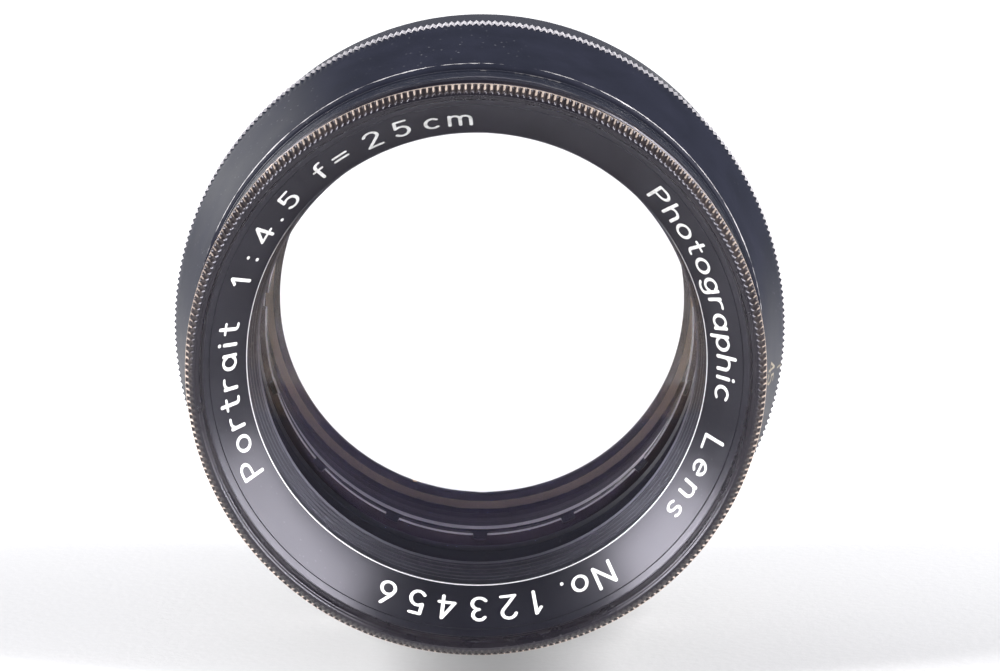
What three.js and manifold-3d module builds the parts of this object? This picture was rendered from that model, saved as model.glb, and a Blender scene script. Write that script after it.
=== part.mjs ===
// Barrel-mounted portrait lens lying on its side: millimetres, +Z up, optical axis along Y.
// Depths s are measured along the axis from the front rim, so y = s - LENGTH / 2.
import * as THREE from 'three';
import { mergeVertices } from 'three/addons/utils/BufferGeometryUtils.js';
import Module from 'manifold-3d';

const wasm = await Module();
wasm.setup();

// ---- driving dimensions ----
const LENGTH = 65.0;              // front rim to the end of the rear thread
const KNURL_R = 40.3;             // largest radius: the knurled edge of the aperture ring
const SEG = 40;                   // sides of every turned ring
const FLAT = Math.cos(Math.PI / SEG);
const AXIS_Z = KNURL_R;           // height of the optical axis when the barrel lies down

const RIM_R = 36.1;               // knurled rim of the front cell
const NAME_OUT = [33.85, 2.7];    // name ring, outer edge [radius, depth]
const NAME_IN = [28.97, 9.7];     // name ring, inner edge
const CELL_END = 9.2;             // front cell shoulder meets the barrel collar
const COLLAR_R = 36.0;            // barrel collar
const COLLAR_END = 16.4;
const TUBE_R = 34.0;              // barrel under the aperture ring

const SCALE_FRONT = [36.75, 18.9];
const SCALE_REAR = [39.85, 33.0];
const KNURL_FROM = 33.3;
const KNURL_TO = 37.3;

const REAR_R = 39.1;              // rear barrel
const REAR_FROM = 37.9;
const SEAT_S = 57.0;              // mounting shoulder, faces rearward
const THREAD_R = 36.2;            // rear thread, passes the lens board

// iris
const BLADES = 15;
const PITCH = 360 / BLADES;
const BLADE_IN = 25.3;
const BLADE_OUT = 31.5;
const PIVOT_R = 29.6;
const BLADE_SPAN = 136.37;        // degrees between the two pins of a blade
const FIRST_SLOT = 270;           // a slot of the drive ring lies at the very bottom
const BLADE_TAIL = 4.0;           // degrees of blade past each pin
const BLADE_T = 0.06;
const BLADE_RISE = 3.4;           // climb of a blade from pivot end to drive end
const IRIS_REAR_S = 41.75;        // pivot end of the blades
const PIN_R = 0.45;
const RING_S = 37.0;              // front face of the slotted drive ring
const RING_R = 24.5;              // its bore
const RING_SKIN = 0.35;           // the slots are cut from behind and leave this skin in front
const SLOT_W = 2.0;
const NOTCH_W = 1.6;              // each slot shows in front as a shallow notch
const NOTCH_R = 25.1;
const PLATE_R = 25.45;            // bore of the blade seat plate
const TURN = 86;                  // degrees that the aperture ring turns

// ---- helpers ----
const toSolid = (geometry) => {
  const g = geometry.clone();
  g.deleteAttribute('normal');
  g.deleteAttribute('uv');
  const merged = mergeVertices(g, 1e-4);
  const pos = merged.attributes.position.array;
  const idx = Array.from(merged.index.array);
  const v = (i) => new THREE.Vector3(pos[i * 3], pos[i * 3 + 1], pos[i * 3 + 2]);
  const tris = [];
  let volume = 0;
  for (let t = 0; t < idx.length; t += 3) {
    const [a, b, c] = [idx[t], idx[t + 1], idx[t + 2]];
    if (a === b || b === c || c === a) continue;
    tris.push([a, b, c]);
    volume += v(a).dot(v(b).cross(v(c)));
  }
  const faces = volume < 0 ? tris.map(([a, b, c]) => [b, a, c]) : tris;
  return new wasm.Manifold(new wasm.Mesh({
    numProp: 3,
    vertProperties: new Float32Array(pos),
    triVerts: new Uint32Array(faces.flat()),
  }));
};

const toGeometry = (solid) => {
  const m = solid.getMesh();
  const g = new THREE.BufferGeometry();
  const pos = new Float32Array(m.numVert * 3);
  for (let i = 0; i < m.numVert; i++) {
    for (let k = 0; k < 3; k++) pos[i * 3 + k] = m.vertProperties[i * m.numProp + k];
  }
  g.setAttribute('position', new THREE.BufferAttribute(pos, 3));
  g.setIndex(new THREE.BufferAttribute(new Uint32Array(m.triVerts), 1));
  g.computeVertexNormals();
  return g;
};

// A turned ring about the optical axis. The profile lists [radius, depth] around the section;
// a profile that touches the axis starts and ends on it, any other closes on itself.
const turned = (profile, sides = SEG) => {
  const onAxis = profile[0][0] === 0 && profile[profile.length - 1][0] === 0;
  const closed = onAxis ? profile : [...profile, profile[0]];
  const points = closed.map(([r, s]) => new THREE.Vector2(r / FLAT, s));
  const g = new THREE.LatheGeometry(points, sides, Math.PI / sides, Math.PI * 2);
  return toSolid(g);
};

// A small pin along the axis at [radius, angle]; angle runs from +X towards +Z.
const axialPin = (radius, at, angle, s0, s1, sides = 8) => {
  const g = new THREE.CylinderGeometry(radius, radius, s1 - s0, sides);
  const a = THREE.MathUtils.degToRad(angle);
  g.translate(at * Math.cos(a), (s0 + s1) / 2, at * Math.sin(a));
  return toSolid(g);
};

// A cylinder along a radius, from r0 to r1, at depth s.
const radialPin = (radius, r0, r1, angle, s, sides = 16) => {
  const g = new THREE.CylinderGeometry(radius, radius, r1 - r0, sides);
  g.rotateZ(-Math.PI / 2);
  g.translate((r0 + r1) / 2, 0, 0);
  g.rotateY(-THREE.MathUtils.degToRad(angle));
  g.translate(0, s, 0);
  return toSolid(g);
};

// A straight block: radial extent r0..r1, width across, depth s0..s1, turned to an angle.
const block = (r0, r1, width, s0, s1, angle) => {
  const g = new THREE.BoxGeometry(r1 - r0, s1 - s0, width);
  g.translate((r0 + r1) / 2, (s0 + s1) / 2, 0);
  g.rotateY(-THREE.MathUtils.degToRad(angle));
  return toSolid(g);
};

// A curved block about the axis: radius r0..r1, depth s0..s1, angles a0..a1.
const sector = (r0, r1, s0, s1, a0, a1, steps = 12) => {
  const pos = [];
  for (let i = 0; i <= steps; i++) {
    const a = THREE.MathUtils.degToRad(a0 + ((a1 - a0) * i) / steps);
    for (const [r, s] of [[r0, s0], [r1, s0], [r1, s1], [r0, s1]]) {
      pos.push(r * Math.cos(a), s, r * Math.sin(a));
    }
  }
  return strip(pos, steps);
};

// Closes a strip of four-cornered sections into one solid.
const strip = (pos, steps) => {
  const idx = [];
  for (let i = 0; i < steps; i++) {
    const a = i * 4;
    const b = a + 4;
    for (let k = 0; k < 4; k++) {
      const n = (k + 1) % 4;
      idx.push(a + k, b + k, a + n, a + n, b + k, b + n);
    }
  }
  const e = steps * 4;
  idx.push(0, 1, 2, 0, 2, 3, e, e + 2, e + 1, e, e + 3, e + 2);
  const g = new THREE.BufferGeometry();
  g.setAttribute('position', new THREE.BufferAttribute(new Float32Array(pos), 3));
  g.setIndex(idx);
  return toSolid(g);
};

// Depth of a spherical surface with its vertex at s, at a height h from the axis.
const sag = (s, radius, h) => s + radius - Math.sign(radius) * Math.sqrt(radius * radius - h * h);

// A glass element between two spherical surfaces, with a ground cylindrical edge.
const element = (s1, r1, s2, r2, edge, rings = 4) => {
  const profile = [];
  for (let i = 0; i <= rings; i++) profile.push([(edge * i) / rings, sag(s1, r1, (edge * i) / rings)]);
  for (let i = rings; i >= 0; i--) profile.push([(edge * i) / rings, sag(s2, r2, (edge * i) / rings)]);
  return turned(profile);
};

const group = new THREE.Group();
group.name = 'portrait_lens';

const LOOKS = {
  lacquer: { color: 0x141416, roughness: 0.38, metalness: 0.3 },
  matte: { color: 0x0d0d0e, roughness: 0.85, metalness: 0.1 },
  brass: { color: 0xb08d4a, roughness: 0.35, metalness: 1.0 },
  blade: { color: 0x2a2a2e, roughness: 0.45, metalness: 0.8 },
  steel: { color: 0x9a9a98, roughness: 0.3, metalness: 1.0 },
  glass: { color: 0xd8e4ee, roughness: 0.03, metalness: 0.0, transparent: true, opacity: 0.35 },
};

const place = (name, solid, look) => {
  const geometry = toGeometry(solid);
  geometry.translate(0, -LENGTH / 2, AXIS_Z);
  const mesh = new THREE.Mesh(geometry, new THREE.MeshStandardMaterial({ ...LOOKS[look] }));
  mesh.name = name;
  mesh.castShadow = true;
  group.add(mesh);
};

// ---- front group ----
const frontCell = () => turned([
  [34.0, 0.5], [34.9, 0.0], [35.6, 0.15], [RIM_R, 0.8], [RIM_R, 1.8], [35.7, 2.1],
  [35.7, 6.2], [35.95, 6.4], [COLLAR_R, CELL_END], [33.3, CELL_END],
  [33.3, 22.6], [30.6, 22.6], [30.6, 34.6], [27.9, 34.6], [27.9, 29.6], [26.6, 29.6],
  [26.6, 20.8], [30.6, 20.4], [30.6, 10.2], [31.7, 10.2], [31.7, 8.0], [34.0, 8.0],
]);

const nameRing = () => turned([
  [31.5, 10.0], [31.5, 7.8], [NAME_OUT[0], 7.8],
  [NAME_OUT[0], NAME_OUT[1] + 0.25], [NAME_OUT[0] - 0.25, NAME_OUT[1] + 0.12],
  [NAME_IN[0] + 0.12, NAME_IN[1]], [NAME_IN[0], NAME_IN[1] + 0.15], [NAME_IN[0], 10.0],
]);

// Baffle between the two front glasses: a bore that narrows in fine steps.
const frontSpacer = () => {
  const bore = [];
  const steps = 5;
  const rise = 2.7 / steps;
  const run = 4.9 / steps;
  for (let i = 0; i < steps; i++) {
    bore.push([28.2 - rise * i, 15.2 + run * i], [28.1 - rise * i, 15.2 + run * (i + 0.8)]);
  }
  return turned([[30.45, 20.25], [30.45, 13.45], [29.6, 13.45], ...bore, [25.5, 20.25]]);
};

const frontElement = () => element(3.9, 69.1, 13.4, -1104.0, 30.3, 5);
const secondElement = () => element(23.2, -144.0, 26.8, 67.2, 26.4);

// Threaded ring behind the second glass, with two spanner slots in its rear face.
const frontCellRetainer = () => turned([
  [27.75, 32.4], [27.75, 34.3], [24.85, 34.3], [24.85, 32.4],
])
  .subtract(block(24.6, 28.4, 1.6, 33.5, 35.2, 0))
  .subtract(block(24.6, 28.4, 1.6, 33.5, 35.2, 180));

// ---- barrel and aperture ring ----
const SCREW_ANGLE = 225;          // where the drive screw sits when the iris is wide open
const SCREW_S = 35.3;

const mainBarrel = () => turned([
  [COLLAR_R, CELL_END + 0.12], [COLLAR_R, COLLAR_END - 0.5], [36.2, COLLAR_END - 0.3],
  [36.1, COLLAR_END], [TUBE_R, COLLAR_END],
  [TUBE_R, 47.0], [32.3, 47.0], [32.3, 22.9], [33.5, 22.9], [33.5, CELL_END + 0.12],
])
  .subtract(sector(31.0, 35.5, SCREW_S - 1.15, SCREW_S + 1.15, SCREW_ANGLE - 3, SCREW_ANGLE + TURN + 3));

const apertureRingRetainer = () => turned([
  [35.3, 16.7], [35.3, 18.0], [34.15, 18.0], [34.15, 16.7],
])
  .subtract(block(33.5, 36.5, 1.4, 16.2, 17.4, 100))
  .subtract(block(33.5, 36.5, 1.4, 16.2, 17.4, 280));

const apertureRing = () => turned([
  [34.25, 18.25], [36.3, 18.25], SCALE_FRONT, SCALE_REAR,
  [KNURL_R, KNURL_FROM], [KNURL_R, KNURL_TO], [39.9, 37.65], [34.25, 37.65],
])
  .subtract(radialPin(1.05, 33.0, 42.0, SCREW_ANGLE, SCREW_S));

const driveScrew = () => radialPin(0.95, 31.35, 39.6, SCREW_ANGLE, SCREW_S)
  .subtract(block(38.9, 40.5, 0.4, SCREW_S - 1.2, SCREW_S + 1.2, SCREW_ANGLE));

// ---- iris ----
const snapRing = () => turned([
  [32.15, 32.7], [32.15, 33.5], [31.0, 33.5], [31.0, 32.7],
]).subtract(sector(30.0, 33.5, 32.0, 34.2, 150, 158, 2));

const driveRing = () => {
  let ring = turned([
    [32.1, 33.8], [32.1, RING_S + 1.0], [RING_R, RING_S + 1.0], [RING_R, RING_S],
    [31.0, RING_S], [31.0, 33.8],
  ]);
  ring = ring.subtract(radialPin(1.05, 30.0, 34.0, SCREW_ANGLE, SCREW_S));
  const slotEnd = PIVOT_R + PIN_R + 0.25;
  for (let i = 0; i < BLADES; i++) {
    const angle = FIRST_SLOT + PITCH * i;
    ring = ring
      .subtract(block(23.0, slotEnd, SLOT_W, RING_S + RING_SKIN, RING_S + 2.0, angle))
      .subtract(block(23.0, NOTCH_R, NOTCH_W, RING_S - 1.0, RING_S + 0.6, angle));
  }
  return ring;
};

// A blade's pivot lies one span before its slot.
const pivotAngle = (number) => FIRST_SLOT - BLADE_SPAN + PITCH * number;

const seatPlate = () => {
  let plate = turned([[32.1, 41.95], [32.1, 43.0], [PLATE_R, 43.0], [PLATE_R, 41.95]]);
  for (let i = 0; i < BLADES; i++) {
    plate = plate.subtract(axialPin(PIN_R + 0.1, PIVOT_R, pivotAngle(i), 41.5, 43.5));
  }
  return plate;
};

// One iris blade: a thin arc that climbs from its pivot pin to its drive pin.
const blade = (number) => {
  const turn = pivotAngle(number);
  const steps = 9;
  const span = BLADE_SPAN + 2 * BLADE_TAIL;
  const pos = [];
  for (let i = 0; i <= steps; i++) {
    const u = i / steps;
    const a = THREE.MathUtils.degToRad(turn - BLADE_TAIL + span * u);
    const tip = i === 0 || i === steps ? 1.5 : 0;
    const s = IRIS_REAR_S - BLADE_RISE * u;
    const inner = BLADE_IN + 0.12 + tip;
    const outer = BLADE_OUT - tip * 0.8;
    for (const [r, d] of [[inner, 0], [outer, 0], [outer, -BLADE_T], [inner, -BLADE_T]]) {
      pos.push(r * Math.cos(a), s + d, r * Math.sin(a));
    }
  }
  const low = IRIS_REAR_S - (BLADE_RISE * BLADE_TAIL) / span;
  const high = IRIS_REAR_S - (BLADE_RISE * (span - BLADE_TAIL)) / span - BLADE_T;
  return strip(pos, steps)
    .add(axialPin(PIN_R, PIVOT_R, turn, low - BLADE_T * 0.7, 42.75))
    .add(axialPin(PIN_R, PIVOT_R, turn + BLADE_SPAN, RING_S + 0.45, high + BLADE_T * 0.7));
};

// ---- rear group ----
const rearBarrel = () => turned([
  [34.2, REAR_FROM], [REAR_R - 0.3, REAR_FROM], [REAR_R, REAR_FROM + 0.3],
  [REAR_R, SEAT_S - 0.3], [REAR_R - 0.3, SEAT_S], [THREAD_R, SEAT_S],
  [THREAD_R, LENGTH - 0.4], [THREAD_R - 0.4, LENGTH], [34.3, LENGTH],
  [34.3, 61.0], [32.3, 61.0], [32.3, 47.2], [34.2, 47.2],
]).subtract(radialPin(1.25, 33.0, 42.0, 200, 43.0));

const barrelSetScrew = () => radialPin(1.15, 34.25, 38.6, 200, 43.0)
  .subtract(block(37.9, 40.5, 0.4, 41.0, 45.0, 200));

const rearCell = () => turned([
  [32.1, 43.3], [32.1, 61.2], [33.9, 61.2], [33.9, 63.2], [28.5, 63.2], [28.5, 58.2],
  [27.4, 58.2], [27.4, 43.7], [25.75, 43.3],
])
  .subtract(block(30.5, 35.0, 1.8, 62.4, 64.0, 45))
  .subtract(block(30.5, 35.0, 1.8, 62.4, 64.0, 225));

const rearNegative = () => element(44.8, -451.2, 48.3, 63.4, 27.2);
const rearPositive = () => element(48.32, 63.4, 60.8, -107.5, 27.2);

const rearRetainer = () => turned([
  [28.4, 58.45], [28.4, 61.0], [25.3, 61.0], [24.95, 60.7], [24.95, 58.45],
])
  .subtract(block(24.0, 29.0, 1.5, 60.2, 62.0, 90))
  .subtract(block(24.0, 29.0, 1.5, 60.2, 62.0, 270));

// ---- assembly ----
place('front_cell', frontCell(), 'lacquer');
place('name_ring', nameRing(), 'lacquer');
place('front_element', frontElement(), 'glass');
place('front_spacer', frontSpacer(), 'matte');
place('second_element', secondElement(), 'glass');
place('front_cell_retainer', frontCellRetainer(), 'matte');
place('main_barrel', mainBarrel(), 'lacquer');
place('aperture_ring_retainer', apertureRingRetainer(), 'brass');
place('aperture_ring', apertureRing(), 'lacquer');
place('aperture_drive_screw', driveScrew(), 'steel');
place('iris_snap_ring', snapRing(), 'steel');
place('iris_drive_ring', driveRing(), 'brass');
place('iris_seat_plate', seatPlate(), 'brass');
for (let i = 0; i < BLADES; i++) {
  place(`iris_blade_${String(i + 1).padStart(2, '0')}`, blade(i), 'blade');
}
place('rear_barrel', rearBarrel(), 'lacquer');
place('barrel_set_screw', barrelSetScrew(), 'steel');
place('rear_cell', rearCell(), 'lacquer');
place('rear_negative_element', rearNegative(), 'glass');
place('rear_positive_element', rearPositive(), 'glass');
place('rear_retainer', rearRetainer(), 'lacquer');

export default group;
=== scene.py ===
import math

import bpy
import bmesh
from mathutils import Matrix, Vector


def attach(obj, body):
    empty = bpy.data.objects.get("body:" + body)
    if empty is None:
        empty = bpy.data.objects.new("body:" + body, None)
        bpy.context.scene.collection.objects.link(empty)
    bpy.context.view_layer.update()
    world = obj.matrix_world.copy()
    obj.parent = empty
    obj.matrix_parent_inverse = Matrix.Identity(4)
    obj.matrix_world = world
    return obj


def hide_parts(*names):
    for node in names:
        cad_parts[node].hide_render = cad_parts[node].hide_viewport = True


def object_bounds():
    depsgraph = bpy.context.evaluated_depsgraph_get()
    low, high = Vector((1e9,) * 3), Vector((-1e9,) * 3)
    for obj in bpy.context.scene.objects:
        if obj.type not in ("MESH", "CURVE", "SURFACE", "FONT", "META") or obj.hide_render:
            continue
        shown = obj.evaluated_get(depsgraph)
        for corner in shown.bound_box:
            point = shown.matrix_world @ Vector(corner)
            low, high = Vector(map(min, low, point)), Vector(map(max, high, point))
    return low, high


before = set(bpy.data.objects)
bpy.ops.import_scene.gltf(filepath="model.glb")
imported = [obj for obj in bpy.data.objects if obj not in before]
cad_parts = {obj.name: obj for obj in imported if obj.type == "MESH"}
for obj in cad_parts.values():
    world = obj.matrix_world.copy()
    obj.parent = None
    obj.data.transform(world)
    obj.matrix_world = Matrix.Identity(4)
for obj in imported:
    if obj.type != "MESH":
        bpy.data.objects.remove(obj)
cad_box = [list(v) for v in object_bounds()]

# ------------------------------------------------------------------ frame of the lens
# Depth s (mm) runs rearwards from the front rim; angle t (degrees) runs clockwise from the
# top, seen from the front. Everything is turned into the row frame, in metres.
LOW, HIGH = (Vector(v) for v in cad_box)
Y0 = LOW.y
AXIS_X = (LOW.x + HIGH.x) / 2
AXIS_Z = (LOW.z + HIGH.z) / 2


def at(r, t, s):
    a = math.radians(t)
    return Vector((AXIS_X + r * math.sin(a) / 1000, Y0 + s / 1000, AXIS_Z + r * math.cos(a) / 1000))


# ------------------------------------------------------------------ materials
class Mat:
    """A small wrapper that keeps the node wiring readable."""

    def __init__(self, name):
        self.m = bpy.data.materials.new(name)
        self.m.use_nodes = True
        self.nt = self.m.node_tree
        self.bsdf = self.nt.nodes["Principled BSDF"]
        self.out = self.nt.nodes["Material Output"]
        self.coord = self.nt.nodes.new("ShaderNodeTexCoord")
        self.last_normal = None

    def node(self, kind, **values):
        n = self.nt.nodes.new("ShaderNode" + kind)
        for k, v in values.items():
            setattr(n, k, v)
        return n

    def link(self, a, b):
        self.nt.links.new(a, b)

    def noise(self, scale, detail=4.0, rough=0.55, vec=None):
        n = self.node("TexNoise")
        n.inputs["Scale"].default_value = scale
        n.inputs["Detail"].default_value = detail
        n.inputs["Roughness"].default_value = rough
        self.link(vec or self.coord.outputs["Object"], n.inputs["Vector"])
        return n.outputs["Fac"]

    def spots(self, scale):
        n = self.node("TexVoronoi")
        n.inputs["Scale"].default_value = scale
        self.link(self.coord.outputs["Object"], n.inputs["Vector"])
        return n.outputs["Distance"]

    def attr(self, name):
        n = self.node("Attribute")
        n.attribute_name = name
        return n.outputs["Fac"]

    def polar(self, around, radial, along):
        """Coordinates (angle, radius, depth) about the optical axis, each with its own stretch."""
        sep = self.node("SeparateXYZ")
        self.link(self.coord.outputs["Object"], sep.inputs[0])
        x = self.math("SUBTRACT", sep.outputs["X"], AXIS_X)
        z = self.math("SUBTRACT", sep.outputs["Z"], AXIS_Z)
        ang = self.math("ARCTAN2", x, z)
        square = self.math("ADD", self.math("MULTIPLY", x, x), self.math("MULTIPLY", z, z))
        rr = self.math("SQRT", square)
        com = self.node("CombineXYZ")
        self.link(self.math("MULTIPLY", ang, around), com.inputs[0])
        self.link(self.math("MULTIPLY", rr, radial), com.inputs[1])
        self.link(self.math("MULTIPLY", sep.outputs["Y"], along), com.inputs[2])
        return com.outputs[0]

    def math(self, op, a, b=0.0):
        n = self.node("Math", operation=op)
        for i, v in enumerate((a, b)):
            if isinstance(v, (int, float)):
                n.inputs[i].default_value = v
            else:
                self.link(v, n.inputs[i])
        return n.outputs[0]

    def ramp(self, fac, *stops):
        """A grey ramp between two stops, each (position, value)."""
        n = self.node("ValToRGB")
        for e, (position, value) in zip(n.color_ramp.elements, stops):
            e.position = position
            e.color = (value, value, value, 1)
        self.link(fac, n.inputs["Fac"])
        return n.outputs["Color"]

    def mix(self, fac, a, b):
        n = self.node("Mix", data_type="RGBA")
        for i, v in ((6, a), (7, b)):
            if isinstance(v, tuple):
                n.inputs[i].default_value = (*v, 1)
            else:
                self.link(v, n.inputs[i])
        self.link(fac, n.inputs[0])
        return n.outputs[2]

    def bump(self, height, strength, distance):
        n = self.node("Bump")
        n.inputs["Strength"].default_value = strength
        n.inputs["Distance"].default_value = distance
        self.link(height, n.inputs["Height"])
        if self.last_normal is not None:
            self.link(self.last_normal, n.inputs["Normal"])
        self.last_normal = n.outputs["Normal"]
        self.link(self.last_normal, self.bsdf.inputs["Normal"])

    def grain(self, amount):
        """Stretches highlights across the turning marks, which run round the optical axis."""
        tangent = self.node("Tangent", direction_type="RADIAL", axis="Y")
        self.link(tangent.outputs[0], self.bsdf.inputs["Tangent"])
        self.bsdf.inputs["Anisotropic"].default_value = amount
        self.bsdf.inputs["Anisotropic Rotation"].default_value = 0.25

    def set(self, **values):
        names = {"color": "Base Color", "rough": "Roughness", "metal": "Metallic", "ior": "IOR",
                 "trans": "Transmission Weight", "spec": "Specular IOR Level"}
        for k, v in values.items():
            s = self.bsdf.inputs[names[k]]
            if isinstance(v, tuple):
                s.default_value = (*v, 1)
            elif isinstance(v, (int, float)):
                s.default_value = v
            else:
                self.link(v, s)


# old lacquer reflects a little cooler than it is lit
COOL = (0.90, 0.87, 1.0, 1)


def lacquer(name, base, light, rough=0.3, turning=0.6, dust=0.5, metal=(0.62, 0.57, 0.5), worn=0.45,
            breakup=0.7, spec=0.5, grain=0.0, bare=1.0, ior=1.5):
    """Black lacquer on brass: turning marks, faint mottling, dust, and metal where 'wear' is high: rubbed
    metal, and on some edges a painted highlight.
    Metal starts to show at the wear 'worn', broken up by noise, and is as metallic as 'bare' says."""
    m = Mat(name)
    polar = m.polar(1.2, 9000.0, 9000.0)
    rings = m.noise(1.0, 3.0, 0.6, polar)
    mottle = m.noise(140.0, 5.0, 0.6)
    colour = m.mix(m.ramp(mottle, (0.35, 0.0), (0.75, 1.0)), base, light)
    # small pale dust specks, unevenly scattered
    speck = m.ramp(m.spots(950.0), (0.0, 1.0), (0.16, 0.0))
    patch = m.ramp(m.noise(60.0, 2.0), (0.5, 0.0), (0.68, 1.0))
    dusty = m.math("MULTIPLY", m.math("MULTIPLY", speck, patch), dust)
    colour = m.mix(dusty, colour, (0.30, 0.30, 0.31))
    # wear, and on some edges a painted highlight: the attribute says where metal can show, noise breaks it up
    wear_and_glint = m.attr("wear_and_glint")
    broken = m.noise(700.0, 4.0, 0.65)
    mask = m.ramp(m.math("ADD", wear_and_glint, m.math("MULTIPLY", m.math("SUBTRACT", broken, 0.5), breakup)),
                  (worn, 0.0), (worn + 0.2, 1.0))
    mask = m.math("MULTIPLY", mask, m.math("GREATER_THAN", wear_and_glint, 0.02))
    colour = m.mix(mask, colour, metal)
    r = m.math("ADD", m.math("MULTIPLY", mottle, 0.16), rough - 0.08)
    m.set(color=colour, rough=r, metal=m.math("MULTIPLY", mask, bare), spec=spec, ior=ior)
    m.bsdf.inputs["Specular Tint"].default_value = COOL
    if grain:
        m.grain(grain)
    m.bump(rings, 0.10 * turning, 0.00004)
    m.bump(m.noise(2600.0, 2.0), 0.03, 0.00003)
    return m.m


def metal(name, base, second, rough, edge, turning=0.5, scale=240.0, bare=1.0):
    """Stained metal, bright where 'wear' is high: rubbed metal, and where the bright colour is near-white and
    barely metallic, a painted highlight; 'bare' says how metallic the bright parts are.
    """
    m = Mat(name)
    stain = m.noise(scale, 6.0, 0.62)
    colour = m.mix(m.ramp(stain, (0.3, 0.0), (0.72, 1.0)), base, second)
    wear_and_glint = m.attr("wear_and_glint")
    broken = m.noise(900.0, 3.0)
    mask = m.ramp(m.math("ADD", wear_and_glint, m.math("MULTIPLY", m.math("SUBTRACT", broken, 0.5), 0.8)),
                  (0.5, 0.0), (0.9, 1.0))
    colour = m.mix(mask, colour, edge)
    metallic = m.math("SUBTRACT", 1.0, m.math("MULTIPLY", mask, 1.0 - bare))
    rings = m.noise(1.0, 2.0, 0.6, m.polar(1.5, 7000.0, 7000.0))
    m.set(color=colour, metal=metallic, rough=m.math("ADD", m.math("MULTIPLY", stain, 0.25), rough - 0.1))
    m.bump(rings, 0.12 * turning, 0.00004)
    return m.m


def glass(name, ior, tint, film=0.0):
    """Polished glass; the faint bloom of an old surface is a thin film. Light passes for shadow rays."""
    m = Mat(name)
    smear = m.noise(55.0, 4.0, 0.6)
    m.set(trans=1.0, ior=ior, color=tint, rough=m.ramp(smear, (0.55, 0.0), (0.95, 0.03)))
    if film:
        m.bsdf.inputs["Thin Film Thickness"].default_value = film
        m.bsdf.inputs["Thin Film IOR"].default_value = 1.38
    path = m.node("LightPath")
    clear = m.node("BsdfTransparent")
    clear.inputs[0].default_value = (*tint, 1)
    mix = m.node("MixShader")
    m.link(path.outputs["Is Shadow Ray"], mix.inputs[0])
    m.link(m.bsdf.outputs[0], mix.inputs[1])
    m.link(clear.outputs[0], mix.inputs[2])
    m.link(mix.outputs[0], m.out.inputs["Surface"])
    return m.m


def paint(name, base, dirt):
    """Old paint in an engraving, grey with dirt in places."""
    m = Mat(name)
    n = m.noise(1400.0, 4.0, 0.65)
    m.set(color=m.mix(m.ramp(n, (0.42, 0.0), (0.72, 1.0)), base, dirt), rough=0.6)
    m.bump(n, 0.3, 0.00003)
    return m.m


COLLAR = lacquer("lacquer_collar", (0.005, 0.006, 0.010), (0.009, 0.010, 0.016), rough=0.24, dust=0.35,
                 metal=(0.34, 0.32, 0.31), worn=0.62)
CELL = lacquer("lacquer_cell", (0.006, 0.005, 0.007), (0.012, 0.010, 0.012), rough=0.28, dust=0.3, worn=0.5,
               metal=(0.84, 0.68, 0.57), bare=0.7)
KNURL = lacquer("lacquer_cell_knurl", (0.012, 0.009, 0.009), (0.030, 0.022, 0.020), rough=0.32, dust=0.3,
                worn=0.42, metal=(0.80, 0.66, 0.55), bare=0.7)
BAND = lacquer("lacquer_cell_band", (0.044, 0.037, 0.043), (0.062, 0.052, 0.060), rough=0.34, dust=0.4)
NAME = lacquer("lacquer_name_ring", (0.003, 0.003, 0.005), (0.006, 0.006, 0.009), rough=0.40, turning=1.6,
               dust=0.12, metal=(0.90, 0.89, 0.90), breakup=0.3, spec=1.0, grain=0.85, bare=0.6)
SCALE = lacquer("lacquer_scale", (0.012, 0.013, 0.020), (0.018, 0.019, 0.030), rough=0.40, dust=0.6,
                metal=(0.80, 0.77, 0.77), bare=0.62, ior=1.16)
REAR = lacquer("lacquer_rear", (0.006, 0.006, 0.008), (0.012, 0.011, 0.014), rough=0.26,
               metal=(0.40, 0.35, 0.28), worn=0.6)
BORE = lacquer("lacquer_rear_bore", (0.030, 0.024, 0.030), (0.052, 0.040, 0.046), rough=0.5, dust=0.8,
               metal=(0.95, 0.77, 0.57), worn=0.35, breakup=0.5, bare=0.1)
MATTE = lacquer("matte_black", (0.007, 0.008, 0.011), (0.012, 0.013, 0.018), rough=0.42, dust=0.5,
                metal=(0.12, 0.12, 0.14), worn=0.45, breakup=0.15, bare=0.6)
# browned brass whose bright edge colour is near-white and barely metallic: painted highlight lines on the
# drive ring's notches and the seat plate's bore
BROWNED = metal("browned_brass", (0.034, 0.022, 0.026), (0.060, 0.040, 0.044), 0.42, edge=(0.86, 0.82, 0.86),
                bare=0.2)
BLADE = metal("blued_steel", (0.034, 0.036, 0.044), (0.052, 0.050, 0.056), 0.36, edge=(0.3, 0.3, 0.31),
              turning=0.03, scale=70.0)
SCREW = metal("dark_screw", (0.12, 0.11, 0.11), (0.28, 0.27, 0.25), 0.3, edge=(0.6, 0.58, 0.55))
FRONT_GLASS = glass("glass_front", 1.614, (0.985, 0.98, 1.0), film=108.0)
SECOND_GLASS = glass("glass_second", 1.575, (0.985, 0.98, 0.985))
CROWN_GLASS = glass("glass_rear_negative", 1.525, (0.985, 0.975, 0.975))
DENSE_GLASS = glass("glass_rear_positive", 1.614, (0.985, 0.975, 0.975))
EDGE = lacquer("glass_edge_black", (0.034, 0.021, 0.028), (0.060, 0.038, 0.046), rough=0.5, dust=0.9)
SLATE = lacquer("slate_black", (0.010, 0.013, 0.022), (0.016, 0.020, 0.031), rough=0.5, dust=0.4, ior=1.3)
WHITE = paint("paint_white", (0.80, 0.80, 0.79), (0.55, 0.54, 0.52))
TAN = paint("paint_tan", (0.29, 0.25, 0.19), (0.19, 0.165, 0.13))


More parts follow.
